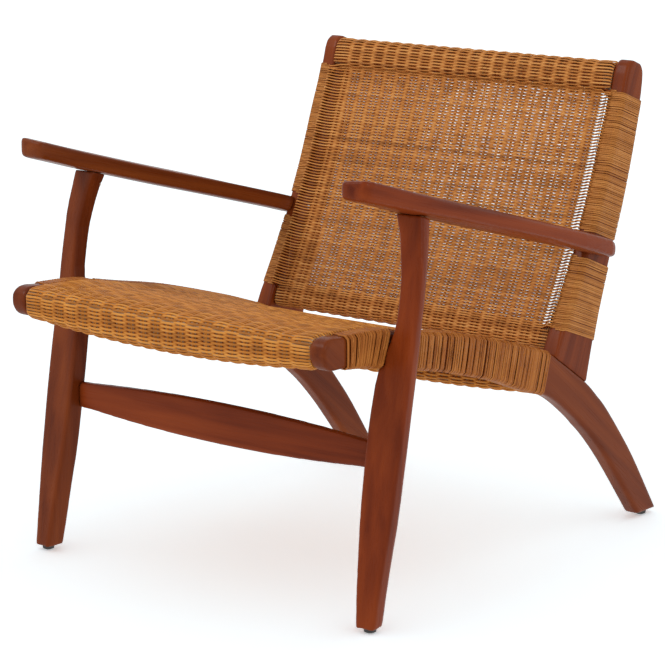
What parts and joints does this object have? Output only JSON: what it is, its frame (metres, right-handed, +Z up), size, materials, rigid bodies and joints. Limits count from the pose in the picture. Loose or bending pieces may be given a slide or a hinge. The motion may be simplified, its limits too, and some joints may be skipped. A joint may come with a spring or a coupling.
{
  "type": "planters chair",
  "caption": "Low lounge chair with a hardwood frame, sloping armrests, curved side boards that run into the rear legs, and a woven cane seat and back.",
  "frame": {"origin": "on the floor, below the middle of the chair's bounding box", "axes": "+X across the seat, +Y from the front of the seat to the back, +Z up"},
  "size_m": [0.6774, 0.8356, 0.7296],
  "materials": {
    "frame_wood": "red-brown hardwood, satin lacquer",
    "rail_wood": "bare wood under the cane",
    "woven_cane": "woven natural cane, satin",
    "wound_cane": "wound natural cane, satin",
    "dowel_wood": "raw beech",
    "screw_steel": "zinc plated",
    "glide_steel": "dark, semi-matte"
  },
  "bodies": {
    "root": {"side_rail_right": "frame_wood", "side_rail_left": "frame_wood", "back_post_right": "frame_wood", "back_post_left": "frame_wood", "armrest_right": "frame_wood", "armrest_left": "frame_wood", "front_leg_right": "frame_wood", "front_leg_left": "frame_wood", "front_stretcher": "frame_wood", "front_seat_rail": "rail_wood", "rear_seat_rail": "rail_wood", "back_top_rail": "rail_wood", "back_bottom_rail": "rail_wood", "seat_cane": "woven_cane", "back_cane": "woven_cane", "rail_wrap_front_right": "wound_cane", "rail_wrap_front_left": "wound_cane", "rail_wrap_rear_right": "wound_cane", "rail_wrap_rear_left": "wound_cane", "post_wrap_lower_right": "wound_cane", "post_wrap_lower_left": "wound_cane", "post_wrap_upper_right": "wound_cane", "post_wrap_upper_left": "wound_cane", "post_dowel_1_right": "dowel_wood", "post_dowel_1_left": "dowel_wood", "post_dowel_2_right": "dowel_wood", "post_dowel_2_left": "dowel_wood", "arm_dowel_1_right": "dowel_wood", "arm_dowel_1_left": "dowel_wood", "arm_dowel_2_right": "dowel_wood", "arm_dowel_2_left": "dowel_wood", "leg_screw_1_right": "screw_steel", "leg_screw_1_left": "screw_steel", "leg_screw_2_right": "screw_steel", "leg_screw_2_left": "screw_steel", "arm_screw_right": "screw_steel", "arm_screw_left": "screw_steel", "front_glide_right": "glide_steel", "front_glide_left": "glide_steel", "rear_glide_right": "glide_steel", "rear_glide_left": "glide_steel"}
  },
  "joints": []
}
